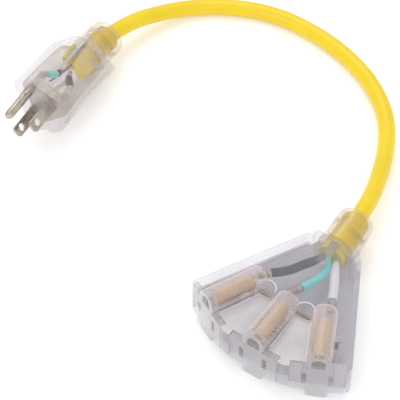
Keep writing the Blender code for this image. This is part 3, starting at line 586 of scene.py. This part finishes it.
bm = bmesh.new()
COLS = 120
rows = []
seat = P_REAR + GAP
for i in range(17):
    row = []
    for k in range(COLS):
        th = 360.0 * k / COLS
        if i <= 7:
            a = torn_front(th) + (-seat - torn_front(th)) * i / 7.0
            row.append(bm.verts.new(polar(th, a, STUB_R if i else STUB_R - 0.35) * MM))
        else:
            s = (P_COLLAR_L - 0.8) * (i - 7) / 9.0
            p, x, y, t = p_axis(s)
            u, v = P_U * math.cos(math.radians(th)) + P_V * math.sin(math.radians(th)), None
            u = (u - t * u.dot(t)).normalized()
            row.append(bm.verts.new((p + u * STUB_R) * MM))
    rows.append(row)
inner = [bm.verts.new(polar(360.0 * k / COLS, torn_front(360.0 * k / COLS) - 1.2, STUB_R - 2.2) * MM) for k in range(COLS)]
core = bm.verts.new(polar(0, -50.0, 0.0) * MM)
for r0, r1 in [(inner, rows[0])] + list(zip(rows, rows[1:])):
    for k in range(COLS):
        bm.faces.new((r0[k], r0[(k + 1) % COLS], r1[(k + 1) % COLS], r1[k]))
for k in range(COLS):
    bm.faces.new((core, inner[(k + 1) % COLS], inner[k]))
bm.faces.new(rows[-1])
torn = piece(mesh_object("torn_jacket", bm, YELLOW), "plug_jacket_end")

# painted highlight: a pale band along the plug's side crease stands in for the white highlight there
ribbon = [(104, -27.5, 9.1), (104, -35.0, 9.1), (104.3, -42.5, 9.1), (104.6, -50.3, 9.1), (105, -58.2, 9.1)]
bm = bmesh.new()
rib_rows = []
for j, (th, a, r) in enumerate(ribbon):
    w = (5.0, 8.5, 10.5, 11.5, 8.0)[j]
    rib_rows.append([bm.verts.new(polar(th + d, a, r + h) * MM) for d, h in ((-w, 0.0), (-w * 0.5, 0.5), (0.0, 0.7), (w * 0.5, 0.5), (w, 0.0), (0.0, -0.4))])
for r0, r1 in zip(rib_rows, rib_rows[1:]):
    for k in range(6):
        bm.faces.new((r0[k], r0[(k + 1) % 6], r1[(k + 1) % 6], r1[k]))
bm.faces.new(rib_rows[0])
bm.faces.new(rib_rows[-1])
ridge_highlight_band = piece(mesh_object("painted_highlight_ridge", bm, RIDGE_HIGHLIGHT_AND_CORE, angle=60.0))


def run(name, pts, r, mat, node=None, slot=None):
    return piece(tube_mesh(name, smooth_path([pl(*p) for p in pts], 0.6), r, mat, 20), node)


extras = [
    run("jacket_flap", [(4.0, 7.4, -49.0), (3.0, 7.4, -43.8), (2.2, 7.4, -39.0), (1.9, 7.4, -35.8)], 1.3, YELLOW),
    run("earth_strands", [(0.0, 11.9, -16.7), (0.7, 10.6, -18.2), (1.1, 9.5, -19.4)], 1.2, CRIMP_PALE),
    run("earth_conductor", [(1.1, 9.5, -19.4), (0.8, 7.6, -21.8), (0.9, 5.6, -24.0)], 1.9, GREEN, "plug_wire_green", "green_wire"),
    run("earth_shrink_tube", [(0.9, 5.5, -24.2), (0.6, 5.3, -25.6), (2.2, 4.7, -27.8)], 1.7, BLACK),
    run("earth_core", [(2.2, 4.7, -27.9), (3.2, 3.6, -31.0), (2.6, 2.0, -35.5)], 1.2, RIDGE_HIGHLIGHT_AND_CORE),
    run("mould_seam", [(4.4, 5.0, -20.0), (3.1, 4.6, -22.1), (0.4, 4.3, -26.0), (-1.5, 4.1, -30.1), (-2.5, 4.0, -34.1)], 0.42, BLACK),
    run("hot_conductor", [(3.2, -2.0, -31.6), (2.4, -2.3, -30.2), (-0.8, -3.0, -26.0), (-4.6, -3.4, -21.3)], 1.9, BLACK, "plug_wire_black", "black_wire"),
    run("hot_core", [(5.2, -1.2, -36.5), (4.4, -1.6, -34.0), (3.2, -2.0, -31.7)], 1.3, RIDGE_HIGHLIGHT_AND_CORE),
    run("hot_crimp", [(-4.9, -3.4, -20.9), (-6.0, -3.2, -16.6), (-7.0, -3.0, -12.5)], 2.3, CRIMP_PALE, "plug_crimp_hot", "crimp_metal"),
]
bm = bmesh.new()
ends = []
for a in (-3.9, -6.5, -10.6):
    q = 1.0 if a > -7 else 0.9
    ends.append([bm.verts.new(pl(u * q, v * q, a) * MM) for u, v in ((-10.8, -8.4), (10.8, -8.4), (10.2, 0.0), (6.0, 8.0), (4.4, 15.0), (-4.4, 15.0), (-6.0, 8.0), (-10.2, 0.0))])
for r0, r1 in zip(ends, ends[1:]):
    for k in range(8):
        bm.faces.new((r0[k], r0[(k + 1) % 8], r1[(k + 1) % 8], r1[k]))
bm.faces.new(ends[0])
bm.faces.new(ends[-1])
extras.append(piece(mesh_object("moulded_bridge", bm, BRIDGE, angle=35.0)))

# =========================================================================
# floor, light
# =========================================================================
fm, nt, b, out = new_mat("floor")
f = noise(nt, coords(nt), 8.0, 2.0)
nt.links.new(ramp(nt, f, [(0.3, grey(0.93)), (0.7, grey(0.95))]), b.inputs["Base Color"])
b.inputs["Emission Color"].default_value = (1.0, 1.0, 1.0, 1.0)
b.inputs["Emission Strength"].default_value = 0.12
b.inputs["Roughness"].default_value = 0.9
b.inputs["Specular IOR Level"].default_value = 0.1
bm = bmesh.new()
bmesh.ops.create_grid(bm, x_segments=1, y_segments=1, size=4.0)
floor = mesh_object("floor", bm, fm, False)
floor.location = (0, 0, -0.0001)

world = bpy.data.worlds.new("world")
scene.world = world
world.use_nodes = True
bg = world.node_tree.nodes["Background"]
bg.inputs["Color"].default_value = (1.0, 1.0, 1.0, 1.0)
bg.inputs["Strength"].default_value = 0.85


def area(name, loc, target, size, power, size_y=None):
    d = bpy.data.lights.new(name, "AREA")
    d.shape = "RECTANGLE"
    d.size = size
    d.size_y = size_y or size
    d.energy = power
    o = bpy.data.objects.new(name, d)
    scene.collection.objects.link(o)
    o.location = loc
    o.rotation_euler = (Vector(target) - Vector(loc)).to_track_quat("-Z", "Y").to_euler()
    return o


MID = (-0.08, 0.05, 0.0)
area("key", (-0.5, 0.5, 1.1), MID, 0.9, 4.5)
area("fill", (0.9, -0.5, 0.9), MID, 0.7, 2.2)
area("front", (-0.3, -0.9, 0.6), MID, 0.5, 2.2, 0.3)

scene.view_settings.view_transform = "Standard"
scene.view_settings.look = "None"
scene.cycles.transparent_max_bounces = 64
scene.cycles.max_bounces = 16
